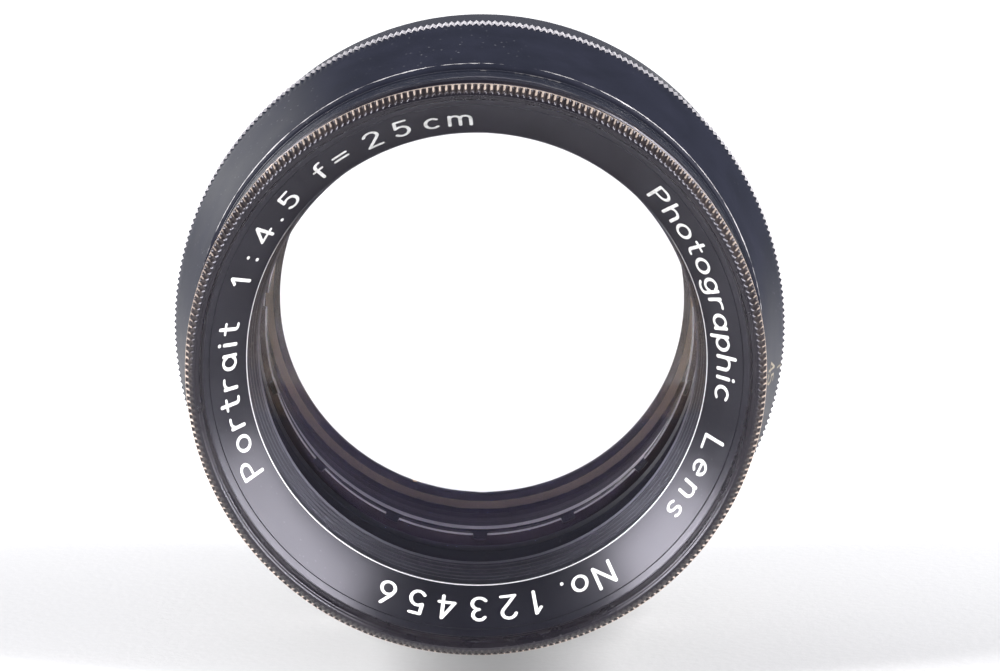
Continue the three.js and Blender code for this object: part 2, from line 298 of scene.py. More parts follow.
# ------------------------------------------------------------------ mesh helpers
def finish_mesh(name, verts, faces, material, body, slot, replaces=(), wear_and_glint=None, smooth=32):
    me = bpy.data.meshes.new(name)
    me.from_pydata([tuple(v) for v in verts], [], faces)
    me.validate()
    bm = bmesh.new()
    bm.from_mesh(me)
    bmesh.ops.recalc_face_normals(bm, faces=bm.faces)
    bm.to_mesh(me)
    bm.free()
    for p in me.polygons:
        p.use_smooth = True
    me.set_sharp_from_angle(angle=math.radians(smooth))
    layer = me.attributes.new("wear_and_glint", "FLOAT", "POINT")
    if wear_and_glint:
        layer.data.foreach_set("value", wear_and_glint)
    ob = bpy.data.objects.new(name, me)
    bpy.context.collection.objects.link(ob)
    ob.data.materials.append(material)
    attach(ob, body)
    if replaces:
        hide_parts(*replaces)
    return ob


def subtract(ob, me):
    """Cuts the closed mesh me out of a piece."""
    cutter = bpy.data.objects.new(me.name, me)
    bpy.context.collection.objects.link(cutter)
    mod = ob.modifiers.new("cut", "BOOLEAN")
    mod.object = cutter
    mod.operation = "DIFFERENCE"
    dg = bpy.context.evaluated_depsgraph_get()
    new = bpy.data.meshes.new_from_object(ob.evaluated_get(dg))
    ob.modifiers.clear()
    ob.data = new
    bpy.data.objects.remove(cutter)


def cut_away(ob, verts, faces, smooth=32):
    """Cuts closed shapes out of a piece, for its slots and holes."""
    me = bpy.data.meshes.new(ob.name + "_cut")
    me.from_pydata([tuple(v) for v in verts], [], faces)
    bm = bmesh.new()
    bm.from_mesh(me)
    bmesh.ops.recalc_face_normals(bm, faces=bm.faces)
    bm.to_mesh(me)
    bm.free()
    subtract(ob, me)
    for p in ob.data.polygons:
        p.use_smooth = True
    ob.data.set_sharp_from_angle(angle=math.radians(smooth))


def ccw(r, angle, s):
    """A point by the CAD's angle, from +X towards +Z."""
    return at(r, 90 - angle, s)


def arc_block(r0, r1, s0, s1, a0, a1, steps):
    """A closed block bent round the axis between two of the CAD's angles."""
    verts, faces = [], []
    for i in range(steps + 1):
        a = a0 + (a1 - a0) * i / steps
        verts += [ccw(r0, a, s0), ccw(r1, a, s0), ccw(r1, a, s1), ccw(r0, a, s1)]
    for p in range(0, 4 * steps, 4):
        for j in range(4):
            k = (j + 1) % 4
            faces.append((p + j, p + k, p + 4 + k, p + 4 + j))
    faces += [(0, 1, 2, 3), tuple(4 * steps + j for j in range(4))]
    return verts, faces


def axial_pins(radius, centres, s0, s1, sides=20):
    """Closed cylinders along the axis, centred on points of the row frame."""
    verts, faces = [], []
    for c in centres:
        base = len(verts)
        for s in (s0, s1):
            for k in range(sides):
                q = 2 * math.pi * k / sides
                verts.append(Vector((c.x + radius * math.cos(q) / 1000, Y0 + s / 1000,
                                     c.z + radius * math.sin(q) / 1000)))
        for k in range(sides):
            j = (k + 1) % sides
            faces.append((base + k, base + j, base + sides + j, base + sides + k))
        faces += [tuple(base + k for k in range(sides)), tuple(base + sides + k for k in range(sides))]
    return verts, faces


def radial_pin(radius, r0, r1, angle, s, sides=32):
    """A closed cylinder along a radius at one of the CAD's angles."""
    a = math.radians(angle)
    out = Vector((math.cos(a), 0, math.sin(a)))
    side = Vector((-math.sin(a), 0, math.cos(a)))
    along = Vector((0, 1, 0))
    verts = []
    for r in (r0, r1):
        for k in range(sides):
            q = 2 * math.pi * k / sides
            verts.append(at(0, 0, s) + (out * r + (side * math.cos(q) + along * math.sin(q)) * radius) / 1000)
    faces = [(k, (k + 1) % sides, sides + (k + 1) % sides, sides + k) for k in range(sides)]
    return verts, faces + [tuple(range(sides)), tuple(sides + k for k in range(sides))]


def fillet(profile, radius, steps=3):
    """Rounds each corner of a closed turned section. Points are (r, s, wear, own radius)."""
    out = []
    n = len(profile)
    for i, p in enumerate(profile):
        r, s = p[0], p[1]
        w = p[2] if len(p) > 2 else 0.0
        f = p[3] if len(p) > 3 else radius
        if f <= 0:
            out.append((r, s, w))
            continue
        a = Vector(profile[i - 1][:2]) - Vector((r, s))
        b = Vector(profile[(i + 1) % n][:2]) - Vector((r, s))
        cut = min(f, a.length * 0.42, b.length * 0.42)
        p0 = Vector((r, s)) + a.normalized() * cut
        p1 = Vector((r, s)) + b.normalized() * cut
        for k in range(steps + 1):
            u = k / steps
            q = p0 * (1 - u) ** 2 + Vector((r, s)) * 2 * u * (1 - u) + p1 * u * u
            out.append((q.x, q.y, w))
    return out


def ring_faces(columns, rows):
    """Faces of a closed section of so many points, repeated in so many columns round the axis."""
    faces = []
    for k in range(columns):
        a, b = k * rows, ((k + 1) % columns) * rows
        for i in range(rows):
            j = (i + 1) % rows
            faces.append((a + i, a + j, b + j, b + i))
    return faces


def turned(name, profile, material, body, slot, replaces=(), seg=288, radius=0.12, shape=None):
    """A closed section turned round the axis. shape(r, s, wear, t) can change each point by its angle."""
    pts = fillet(profile, radius)
    verts, wear_and_glint = [], []
    for k in range(seg):
        t = 360 * k / seg
        for r, s, w in pts:
            if shape:
                r, s, w = shape(r, s, w, t)
            verts.append(at(r, t, s))
            wear_and_glint.append(w)
    return finish_mesh(name, verts, ring_faces(seg, len(pts)), material, body, slot, replaces, wear_and_glint)


def sag(s, radius, h):
    return s + radius - math.copysign(math.sqrt(radius * radius - h * h), radius)


def lens_element(name, s1, r1, s2, r2, edge, material, slot, rings=22, seg=160):
    """A glass element between spherical surfaces at the depths s1 and s2, of the radii r1 and r2.
    Its ground edge is blackened."""
    def side(s0, rr, flip):
        rows = [(edge * math.sqrt(i / rings), sag(s0, rr, edge * math.sqrt(i / rings)))
                for i in range(1, rings + 1)]
        return rows[::-1] if flip else rows
    rows = side(s1, r1, False) + side(s2, r2, True)
    verts = [at(0, 0, s1)]
    for r, s in rows:
        verts += [at(r, 360 * k / seg, s) for k in range(seg)]
    verts.append(at(0, 0, s2))
    faces = []
    for k in range(seg):
        j = (k + 1) % seg
        faces.append((0, 1 + k, 1 + j))
        for i in range(len(rows) - 1):
            a, b = 1 + i * seg, 1 + (i + 1) * seg
            faces.append((a + k, b + k, b + j, a + j))
        last = 1 + (len(rows) - 1) * seg
        faces.append((last + k, len(verts) - 1, last + j))
    node = name.replace("_glass", "")
    ob = finish_mesh(name, verts, faces, material, "barrel", slot, (node,), smooth=30)
    ob.data.materials.append(EDGE)
    for p in ob.data.polygons:
        if abs(p.normal.y) < 0.02:
            p.material_index = 1


def tri(x):
    """Triangle wave, 0 in the grooves and 1 on the tips."""
    x = x % 1.0
    return 1 - abs(2 * x - 1)


def wobble(t, a, b, c):
    """Slow uneven variation round the ring, between 0 and 1."""
    t = math.radians(t)
    waves = 0.5 * math.sin(a * t + 1.3) + 0.3 * math.sin(b * t + 0.4) + 0.2 * math.sin(c * t + 2.1)
    return 0.5 + 0.5 * waves


def knurled(name, rows, teeth, material, body, slot, replaces, cols=4, smooth=75, sharp=1.0):
    """A closed turned section whose rows carry a tooth depth: rows are (r, s, depth, wear) and,
    if the grooves do not sink along the section's normal, the direction they sink from.
    Rows with a wear over 1 are bare down into the grooves, other rows with teeth only on their tips."""
    seg = teeth * cols
    verts, wear_and_glint = [], []
    n = len(rows)
    winding = sum(rows[i - 1][0] * rows[i][1] - rows[i][0] * rows[i - 1][1] for i in range(n))
    turn = math.copysign(1, winding)
    normals = []
    for i in range(n):
        dr, ds = rows[(i + 1) % n][0] - rows[i - 1][0], rows[(i + 1) % n][1] - rows[i - 1][1]
        d = math.hypot(dr, ds) or 1
        normals.append((turn * ds / d, -turn * dr / d))
    for k in range(seg):
        t = 360 * k / seg
        tip = tri(k / cols) ** sharp
        for (r, s, depth, w, *own), normal in zip(rows, normals):
            nr, ns = own[0] if own else normal
            verts.append(at(r - nr * depth * (1 - tip), t, s - ns * depth * (1 - tip)))
            if w > 1:
                wear_and_glint.append(w * (0.5 + 0.5 * tip) * (0.8 + 0.3 * wobble(t, 3, 7, 11)))
            elif depth > 0:
                wear_and_glint.append(w * (tip ** 1.5) * (0.62 + 0.5 * wobble(t, 3, 7, 11)))
            else:
                wear_and_glint.append(w * (0.55 + 0.6 * wobble(t + 138, 4, 9, 23)))
    return finish_mesh(name, verts, ring_faces(seg, n), material, body, slot, replaces, wear_and_glint, smooth)


# ------------------------------------------------------------------ front cell, knurled rim
RIM_TEETH = 284
cell_rows = [
    # the lip
    (34.02, 2.64, 0, 0.0), (33.96, 2.50, 0, 0.0), (33.97, 2.46, 0, 0.0), (34.11, 2.44, 0, 0.0),
    (34.15, 1.4, 0, 0.0), (34.22, 0.62, 0, 0.1), (34.32, 0.40, 0, 0.1), (34.44, 0.30, 0, 0.25),
    (34.62, 0.28, 0, 0.0), (34.66, 0.14, 0, 0.1), (34.74, 0.06, 0, 0.3), (34.88, 0.05, 0, 0.1),
    (34.94, 0.10, 0, 0.1),
    # the knurl
    (35.02, 0.10, 0.04, 0.0), (35.20, 0.14, 0.20, 0.0), (35.44, 0.28, 0.32, 0.25),
    (35.68, 0.52, 0.38, 0.85), (35.86, 0.82, 0.40, 1.0), (35.97, 1.15, 0.38, 1.0),
    (36.04, 1.42, 0.30, 0.9), (36.08, 1.58, 0.12, 0.9), (36.1, 1.68, 0.0, 1.3), (36.1, 1.78, 0.0, 1.3),
    (36.0, 1.88, 0.0, 0.5),
    # the smooth band and the collar behind it
    (35.72, 1.98, 0, 0.1), (35.66, 2.2, 0, 0.0), (35.68, 4.0, 0, 0.0), (35.68, 6.1, 0, 0.0),
    (35.74, 6.25, 0, 0.2), (35.92, 6.32, 0, 0.5), (35.98, 6.45, 0, 0.35), (35.99, 7.8, 0, 0.0),
    (36.0, 9.0, 0, 0.2), (35.95, 9.12, 0, 0.6), (35.8, 9.18, 0, 0.4),
    # the parts inside the barrel, and back through the bore
    (33.3, 9.2, 0, 0), (33.3, 22.6, 0, 0), (30.6, 22.6, 0, 0), (30.6, 34.4, 0, 0),
    (30.4, 34.6, 0, 0), (28.1, 34.6, 0, 0.2), (27.95, 34.45, 0, 0.3), (27.95, 29.6, 0, 0), (26.6, 29.6, 0, 0),
    (26.6, 20.8, 0, 0), (30.6, 20.4, 0, 0), (30.6, 10.2, 0, 0), (31.7, 10.2, 0, 0), (31.7, 8.0, 0, 0),
    (34.02, 8.0, 0, 0),
]
front_cell = knurled("front_cell_visual", cell_rows, RIM_TEETH, CELL, "barrel", "black_lacquer",
                     ("front_cell",), sharp=1.4)
# the knurl is rubbed down to brown, and the smooth band behind it is duller
BAND_INDEX, KNURL_INDEX = 1, 2
front_cell.data.materials.append(BAND)
front_cell.data.materials.append(KNURL)
KNURL_REAR, BAND_FRONT, BAND_REAR = 1.9, 2.2, 6.1
for face in front_cell.data.polygons:
    c = face.center
    depth = (c.y - Y0) * 1000
    radius = math.hypot(c.x - AXIS_X, c.z - AXIS_Z) * 1000
    if radius > 35.1 and depth < KNURL_REAR:
        face.material_index = KNURL_INDEX
    elif radius > 35.5 and BAND_FRONT < depth < BAND_REAR:
        face.material_index = BAND_INDEX

# ------------------------------------------------------------------ name ring
OUT_R, OUT_S, IN_R, IN_S = 33.98, 2.5, 28.97, 9.7
SLOPE = math.hypot(OUT_R - IN_R, IN_S - OUT_S)


def slope(u, deep=0.0):
    """Radius and depth at a fraction u of the name ring's slope from its outer edge, sunk by deep."""
    dr, ds = OUT_R - IN_R, IN_S - OUT_S
    k = deep / SLOPE
    return OUT_R - dr * u + ds * k, OUT_S + ds * u + dr * k


def edge_glint_below(r, s, w, t):
    """Painted highlight: the inner edge is made bright metal round the lower part of the ring only, where it
    catches the light.
    """
    below = 0.5 - 0.5 * math.cos(math.radians(t))
    return (r, s, w * min(1.0, 0.05 + 1.3 * below)) if w > 1 else (r, s, w)


# the inner edge is bright metal round its lower part only: a painted highlight
turned("name_ring_visual", [
    (31.5, 10.0), (31.5, 7.8), (OUT_R, 7.8), (OUT_R, OUT_S + 0.1, 0.0, 0.03), (*slope(0.012), 0.2, 0.03),
    (*slope(0.125), 0.0, 0.0), (*slope(0.13, 0.12), 0.2, 0.0), (*slope(0.15, 0.12), 0.2, 0.0),
    (*slope(0.155), 0.25, 0.0), (*slope(0.5), 0.0, 0.0),
    (*slope(0.957), 0.0, 0.0), (*slope(0.964, 0.07), 0.0, 0.0), (*slope(0.9815, 0.07), 0.0, 0.0),
    (*slope(0.991), 1.6, 0.0), (IN_R, IN_S + 0.03, 1.6, 0.0), (IN_R, IN_S + 0.06, 0.0, 0.0),
    (IN_R, 10.0, 0.0, 0.0),
], NAME, "barrel", "engraved_lacquer", ("name_ring",), seg=360, radius=0.04, shape=edge_glint_below)


# ------------------------------------------------------------------ engraved characters
def arc(cx, cy, rx, ry, a0, a1, n=10):
    return [(cx + rx * math.cos(math.radians(a0 + (a1 - a0) * i / n)),
             cy + ry * math.sin(math.radians(a0 + (a1 - a0) * i / n))) for i in range(n + 1)]


# single-line characters in a box of height 1: (width, strokes)
GLYPHS = {
    "P": (0.52, [[(0, 0), (0, 1), (0.25, 1)] + arc(0.25, 0.75, 0.25, 0.25, 90, -90, 8) + [(0, 0.5)]]),
    "L": (0.46, [[(0, 1), (0, 0), (0.44, 0)]]),
    "N": (0.62, [[(0, 0), (0, 1), (0.6, 0), (0.6, 1)]]),
    "o": (0.50, [arc(0.25, 0.33, 0.25, 0.33, 0, 360, 18)]),
    "r": (0.32, [[(0, 0), (0, 0.66)], arc(0.24, 0.4, 0.24, 0.26, 180, 70, 6)]),
    "t": (0.36, [[(0.16, 0.95), (0.16, 0.14)] + arc(0.3, 0.14, 0.14, 0.14, 180, 280, 4),
                 [(0, 0.66), (0.34, 0.66)]]),
    "a": (0.48, [arc(0.22, 0.33, 0.22, 0.33, 30, 330, 14), [(0.46, 0.66), (0.46, 0)]]),
    "i": (0.10, [[(0.04, 0), (0.04, 0.66)], [(0.04, 0.88), (0.04, 0.92)]]),
    "e": (0.48, [[(0.02, 0.36), (0.46, 0.36)] + arc(0.24, 0.34, 0.23, 0.32, 4, 315, 14)]),
    "n": (0.44, [[(0, 0), (0, 0.66)], arc(0.21, 0.43, 0.21, 0.23, 180, 0, 8) + [(0.42, 0)]]),
    "s": (0.40, [arc(0.2, 0.50, 0.17, 0.16, 35, 235, 8) + arc(0.2, 0.17, 0.18, 0.17, 70, -145, 9)]),
    "h": (0.44, [[(0, 0), (0, 1)], arc(0.21, 0.43, 0.21, 0.23, 180, 0, 8) + [(0.42, 0)]]),
    "g": (0.48, [arc(0.22, 0.35, 0.22, 0.31, 30, 330, 14),
                 [(0.46, 0.66), (0.46, -0.05)] + arc(0.24, -0.06, 0.22, 0.2, 0, -150, 7)]),
    "p": (0.48, [[(0.02, 0.66), (0.02, -0.28)], arc(0.26, 0.33, 0.22, 0.33, 150, -150, 14)]),
    "c": (0.44, [arc(0.24, 0.33, 0.24, 0.33, 50, 310, 12)]),
    "m": (0.74, [[(0, 0), (0, 0.66)], arc(0.18, 0.46, 0.18, 0.2, 180, 0, 6) + [(0.36, 0)],
                 arc(0.54, 0.46, 0.18, 0.2, 180, 0, 6) + [(0.72, 0)]]),
    "f": (0.36, [arc(0.32, 0.78, 0.18, 0.22, 80, 180, 5) + [(0.14, 0)], [(0, 0.62), (0.32, 0.62)]]),
    "=": (0.50, [[(0, 0.62), (0.48, 0.62)], [(0, 0.36), (0.48, 0.36)]]),
    ":": (0.10, [[(0.05, 0.58), (0.05, 0.62)], [(0.05, 0.06), (0.05, 0.1)]]),
    ".": (0.10, [[(0.05, 0.02), (0.05, 0.06)]]),
    "1": (0.30, [[(0.02, 0.76), (0.2, 1), (0.2, 0)]]),
    "2": (0.50, [arc(0.25, 0.74, 0.24, 0.26, 165, -35, 10) + [(0.02, 0), (0.5, 0)]]),
    "3": (0.50, [arc(0.23, 0.76, 0.22, 0.24, 150, -90, 9) + arc(0.23, 0.26, 0.25, 0.26, 90, -150, 10)]),
    "4": (0.54, [[(0.4, 0), (0.4, 1), (0, 0.28), (0.54, 0.28)]]),
    "5": (0.50, [[(0.44, 1), (0.08, 1), (0.05, 0.56)] + arc(0.23, 0.32, 0.25, 0.32, 125, -145, 11)]),
    "6": (0.50, [[(0.38, 1), (0.1, 0.55)] + arc(0.25, 0.28, 0.24, 0.28, 150, -210, 16)]),
    "8": (0.48, [arc(0.24, 0.76, 0.2, 0.24, -90, 270, 14), arc(0.24, 0.26, 0.24, 0.26, 90, 450, 16)]),
}


# how far the middle and the edges of a painted stroke stand off the surface
RIDGE, FOOT = 0.03, 0.012


def strokes_to_mesh(paths, width, place):
    """Ribbons with round ends and joints. place((x, y), lift) gives a point on the surface, in mm."""
    verts, faces = [], []

    def disc(x, y, n=10):
        c = len(verts)
        verts.append(place((x, y), RIDGE))
        for i in range(n):
            a = 2 * math.pi * i / n
            verts.append(place((x + width / 2 * math.cos(a), y + width / 2 * math.sin(a)), FOOT))
        for i in range(n):
            faces.append((c, c + 1 + i, c + 1 + (i + 1) % n))

    for path in paths:
        for x, y in path:
            disc(x, y)
        for (x0, y0), (x1, y1) in zip(path, path[1:]):
            d = math.hypot(x1 - x0, y1 - y0)
            if d < 1e-6:
                continue
            nx, ny = -(y1 - y0) / d * width / 2, (x1 - x0) / d * width / 2
            parts = max(1, int(d / 0.5))
            for i in range(parts):
                rows = []
                for u in (i / parts, (i + 1) / parts):
                    x, y = x0 + (x1 - x0) * u, y0 + (y1 - y0) * u
                    for side, lift in ((1, FOOT), (0, RIDGE), (-1, FOOT)):
                        rows.append(len(verts))
                        verts.append(place((x + nx * side, y + ny * side), lift))
                faces.append((rows[0], rows[1], rows[4], rows[3]))
                faces.append((rows[1], rows[2], rows[5], rows[4]))
    return verts, faces


def merged(parts):
    """Puts several (verts, faces) together."""
    verts, faces = [], []
    for v, f in parts:
        base = len(verts)
        verts += v
        faces += [tuple(i + base for i in q) for q in f]
    return verts, faces


def lettering(name, items, height, width, place_at, material, body, slot, stretch=1.0):
    """items: (character, centre angle). place_at(angle, x, y, lift) maps to the surface."""
    parts = []
    for ch, t in items:
        w, strokes = GLYPHS[ch]
        paths = [[((x - w / 2) * height * stretch, y * height) for x, y in path] for path in strokes]
        parts.append(strokes_to_mesh(paths, width, lambda p, lift, t=t: place_at(t, p[0], p[1], lift)))
    finish_mesh(name, *merged(parts), material, body, slot, smooth=80)


def spaced(text, start, end):
    """Spreads the characters of a word between two angles by their widths."""
    gap = 0.24
    widths = [GLYPHS[c][0] for c in text]
    total = sum(widths) + gap * (len(text) - 1)
    out, x = [], 0.0
    for c, w in zip(text, widths):
        out.append((c, start + (end - start) * (x + w / 2) / total))
        x += w + gap
    return out


# the foot and the top of the characters, as fractions of the name ring's slope
BASE_U, TOP_U = 0.74, 0.32
NAME_HEIGHT = (BASE_U - TOP_U) * SLOPE


def on_name_ring(t, x, y, lift):
    u = BASE_U - (BASE_U - TOP_U) * y / NAME_HEIGHT
    turn = math.degrees(x / (OUT_R - (OUT_R - IN_R) * u))
    r, s = slope(u, -lift)
    return at(r, t + turn, s)


speed = [("1", 290), (":", 295.8), ("4", 302), (".", 307), ("5", 312), ("f", 321.7), ("=", 327.5),
         ("2", 335.7), ("5", 342.8), ("c", 349.8), ("m", 356.4)]
words = spaced("Portrait", 243, 280) + spaced("Photographic", 45, 98) + spaced("Lens", 107, 128)
serial = [("N", 149), ("o", 155), (".", 159.2), ("1", 166), ("2", 172.5), ("3", 179.5), ("4", 187),
          ("5", 194), ("6", 201.2)]
lettering("name_ring_lettering", speed + words + serial, NAME_HEIGHT, 0.45, on_name_ring, WHITE, "barrel",
          "engraved_lacquer")

# ------------------------------------------------------------------ glass
lens_element("front_element_glass", 3.9, 69.1, 13.4, -1104.0, 30.3, FRONT_GLASS, "coated_glass")
lens_element("second_element_glass", 23.2, -144.0, 26.8, 67.2, 26.4, SECOND_GLASS, "coated_glass")
lens_element("rear_negative_element_glass", 44.8, -451.2, 48.3, 63.4, 27.2, CROWN_GLASS, "clear_glass")
lens_element("rear_positive_element_glass", 48.32, 63.4, 60.8, -107.5, 27.2, DENSE_GLASS, "clear_glass")

# ------------------------------------------------------------------ spacer, front retainer
STEPS = 6
bore = [(29.6, 13.45), (28.3, 15.1)]
for i in range(STEPS):
    r, s = 28.2 - 0.54 * i, 15.2 + 0.96 * i
    bright = 1.5 if i == STEPS - 1 else 0.56
    bore += [(r, s, bright, 0.02), (r - 0.03, s + 0.14, bright, 0.02), (r - 0.05, s + 0.17, 0.0, 0.0),
             (r - 0.10, s + 0.62, 0.0, 0.05)]
turned("front_spacer_visual", [(30.45, 20.25), (30.45, 13.45)] + bore[:-1] + [(25.5, 20.2), (25.6, 20.25)],
       MATTE, "barrel", "matte_black", ("front_spacer",), radius=0.06)


def slotted(seats, half_deg, depth_from):
    """Spanner slots: brings the rear face of a ring forward near the given angles."""
    def shape(r, s, w, t):
        for seat in seats:
            if abs((t - seat + 180) % 360 - 180) < half_deg and s > depth_from:
                return r, depth_from, w
        return r, s, w
    return shape


turned("front_cell_retainer_visual", [
    (27.75, 32.4), (27.75, 34.3), (25.0, 34.3), (24.87, 34.18), (24.87, 32.5), (25.0, 32.4),
], SLATE, "barrel", "matte_black", ("front_cell_retainer",), seg=360, shape=slotted((90, 270), 1.8, 33.5))

# ------------------------------------------------------------------ barrel collar, dark gap
# the drive screw when the iris is open, how far it travels, and the set screw, in the CAD's angles
SCREW_ANGLE, SCREW_S, TURN = 225, 35.3, 86
SET_ANGLE, SET_S = 200, 43.0
# radius of the screws' holes; the drive screw's slot is a little wider, and longer than its travel
SCREW_HOLE, SET_HOLE = 1.05, 1.25
SLOT_HALF, SLOT_SPARE = 1.15, 3
main_barrel = turned("main_barrel_visual", [
    (35.98, 9.35, 0.75, 0.1), (35.98, 13.3), (35.94, 13.42, 0.3, 0.05), (35.98, 13.56, 0.45, 0.05),
    (35.98, 15.7), (36.12, 15.85, 0.55, 0.08), (36.18, 16.1, 0.95, 0.1), (36.05, 16.38, 0.6, 0.08),
    (34.0, 16.4), (34.0, 47.0), (32.35, 47.0), (32.35, 22.9), (33.5, 22.9), (33.5, 9.32),
], COLLAR, "barrel", "black_lacquer", ("main_barrel",), radius=0.1,
    shape=lambda r, s, w, t: (r, s, w * (0.55 + 0.7 * wobble(t, 4, 9, 23))))
# the slot in which the drive screw travels
cut_away(main_barrel, *arc_block(31.0, 35.5, SCREW_S - SLOT_HALF, SCREW_S + SLOT_HALF,
                                 SCREW_ANGLE - SLOT_SPARE, SCREW_ANGLE + TURN + SLOT_SPARE,
                                 TURN + 2 * SLOT_SPARE))
turned("aperture_ring_retainer_visual", [
    (35.3, 16.7, 0.3), (35.3, 18.0, 0.3), (34.15, 18.0), (34.15, 16.7)],
    MATTE, "barrel", "inner_brass", ("aperture_ring_retainer",))

# ------------------------------------------------------------------ aperture ring, big knurl
SCALE_A, SCALE_B = (36.75, 18.9), (40.15, 33.0)
KNURL_TEETH = 310
# the grooves of the big knurl sink straight towards the axis
SINK = (1.0, 0.0)
ring_rows = [
    (34.25, 18.3, 0, 0), (36.05, 18.28, 0, 0.2), (36.32, 18.36, 0, 0.15), (36.55, 18.55, 0, 0.3),
    (36.68, 18.75, 0, 0.72), (36.74, 18.92, 0, 0.2),
    (36.846, 19.3, 0, 0.0), (37.46, 21.85, 0, 0.0), (38.56, 26.4, 0, 0.0), (39.66, 30.95, 0, 0.0),
    (39.88, 31.88, 0, 0.0), (40.03, 32.5, 0.14, 0.0, SINK), (40.15, 33.0, 0.28, 0.1, SINK),
    (40.28, 33.2, 0.34, 0.4, SINK), (40.3, 33.34, 0.34, 1.2, SINK), (40.3, 35.3, 0.34, 1.1, SINK),
    (40.3, 36.9, 0.3, 1.3, SINK), (40.12, 37.3, 0.2, 0.9, SINK), (39.85, 37.5, 0, 0.5), (39.7, 37.6, 0, 0.2),
    (34.25, 37.65, 0, 0),
]
aperture_ring = knurled("aperture_ring_visual", ring_rows, KNURL_TEETH, SCALE, "aperture", "scale_lacquer",
                        ("aperture_ring",), smooth=40)
cut_away(aperture_ring, *radial_pin(SCREW_HOLE, 33.0, 42.0, SCREW_ANGLE, SCREW_S), smooth=40)


# depth of the numerals' feet, their height, stroke and narrowing; half the angle of a digit and of a point
NUMERAL_S, NUMERAL_HEIGHT, NUMERAL_STROKE, NARROW = 23.2, 3.9, 0.34, 0.6
DIGIT_HALF, POINT_HALF = 0.80, 0.22
# length and stroke of the marks, and how far they start behind the numerals' feet
MARK, MARK_STROKE, MARK_FROM = 2.6, 0.26, 6.2
INDEX, INDEX_STROKE, INDEX_R, INDEX_S = 2.4, 0.36, 39.1, 38.5


def on_scale(t, x, y, lift):
    """Numerals on the sloping scale: tops rearward, read clockwise."""
    s = NUMERAL_S + y
    rise = (SCALE_B[0] - SCALE_A[0]) * (s - SCALE_A[1]) / (SCALE_B[1] - SCALE_A[1])
    r = SCALE_A[0] + rise + lift + 0.02
    return at(r, t + math.degrees(x / r), s)


def on_rear_barrel(x, y, lift):
    """The index mark stands behind the first stop."""
    return at(INDEX_R + lift, stops[0][1] + math.degrees(x / INDEX_R), INDEX_S + y)


stops = [("4.5", 96.6), ("5.6", 111.0), ("8", 126.0), ("11", 140.0), ("16", 154.0), ("22", 168.5),
         ("32", 183.0)]
numerals, marks = [], []
for text, centre in stops:
    half = DIGIT_HALF * len(text.replace(".", "")) + (POINT_HALF if "." in text else 0)
    numerals += spaced(text, centre - half, centre + half)
    marks.append(strokes_to_mesh([[(0, 0), (0, MARK)]], MARK_STROKE,
                                 lambda p, lift: on_scale(centre, p[0], p[1] + MARK_FROM, lift)))
lettering("scale_numerals", numerals, NUMERAL_HEIGHT, NUMERAL_STROKE, on_scale, TAN, "aperture",
          "scale_lacquer", NARROW)
finish_mesh("scale_marks", *merged(marks), TAN, "aperture", "scale_lacquer", smooth=80)
index = strokes_to_mesh([[(0, 0), (0, INDEX)]], INDEX_STROKE, lambda p, lift: on_rear_barrel(*p, lift))
finish_mesh("index_mark", *index, TAN, "barrel", "black_lacquer", smooth=80)


def radial_screw(name, t, s, r_top, r_low, rad, body, replaces):
    """A small cheese-head screw set along a radius, with a real driver slot and a rounded top edge."""
    seg = 40
    a = math.radians(t)
    out = Vector((math.sin(a), 0, math.cos(a)))
    side = Vector((math.cos(a), 0, -math.sin(a)))
    along = Vector((0, 1, 0))
    rows = [(0.999, r_low), (1.0, r_low + 0.05), (1.0, r_top - 0.18), (0.93, r_top - 0.05), (0.82, r_top)]
    me_v, me_f = [], []
    for f, r in rows:
        for k in range(seg):
            q = 2 * math.pi * k / seg
            round_it = side * math.cos(q) + along * math.sin(q)
            me_v.append(at(0, 0, s) + out * r / 1000 + round_it * rad * f / 1000)
    for i in range(len(rows) - 1):
        for k in range(seg):
            j = (k + 1) % seg
            me_f.append((i * seg + k, i * seg + j, (i + 1) * seg + j, (i + 1) * seg + k))
    me_f.append(tuple(range(seg)))
    me_f.append(tuple((len(rows) - 1) * seg + k for k in range(seg))[::-1])
    ob = finish_mesh(name, me_v, me_f, SCREW, body, "steel_screw", replaces, [0.4] * len(me_v))
    # the driver slot runs past the head's edge, and its cutter stands clear of the top
    reach, half_width, deep, clear = 1.4, 0.17, 0.38, 0.5
    cut_v = []
    for u in (-reach, reach):
        for w in (-half_width, half_width):
            for h in (-deep, clear):
                cut_v.append(at(0, 0, s) + (out * (r_top + h) + (side + along) * 0.7071 * rad * u
                                            + (side - along) * 0.7071 * w) / 1000)
    bm = bmesh.new()
    vs = [bm.verts.new(v) for v in cut_v]
    bmesh.ops.convex_hull(bm, input=vs)
    me = bpy.data.meshes.new(name + "_slot")
    bm.to_mesh(me)
    bm.free()
    subtract(ob, me)


# CAD angles run from +X towards +Z; here they run clockwise from the top
radial_screw("aperture_drive_screw_visual", 90 - SCREW_ANGLE, SCREW_S, 39.55, 31.4, 0.94, "aperture",
             ("aperture_drive_screw",))
radial_screw("barrel_set_screw_visual", 90 - SET_ANGLE, SET_S, 38.55, 34.3, 1.12, "barrel",
             ("barrel_set_screw",))

# ------------------------------------------------------------------ iris
BLADES, BLADE_IN, BLADE_OUT, PIVOT_R, SPAN, TAIL = 15, 25.42, 32.0, 29.6, 136.37, 4.0
PITCH, FIRST_SLOT = 360 / BLADES, 270
THICK, RISE, IRIS_REAR, PIN = 0.06, 3.4, 41.75, 0.45
# how far the pivots and the drive pins reach, and their chamfer
PIVOT_END, DRIVE_END, CHAMFER = 42.75, 37.47, 0.08
# the part of a blade's ends that is rounded, in degrees
ROUNDED = 6.5


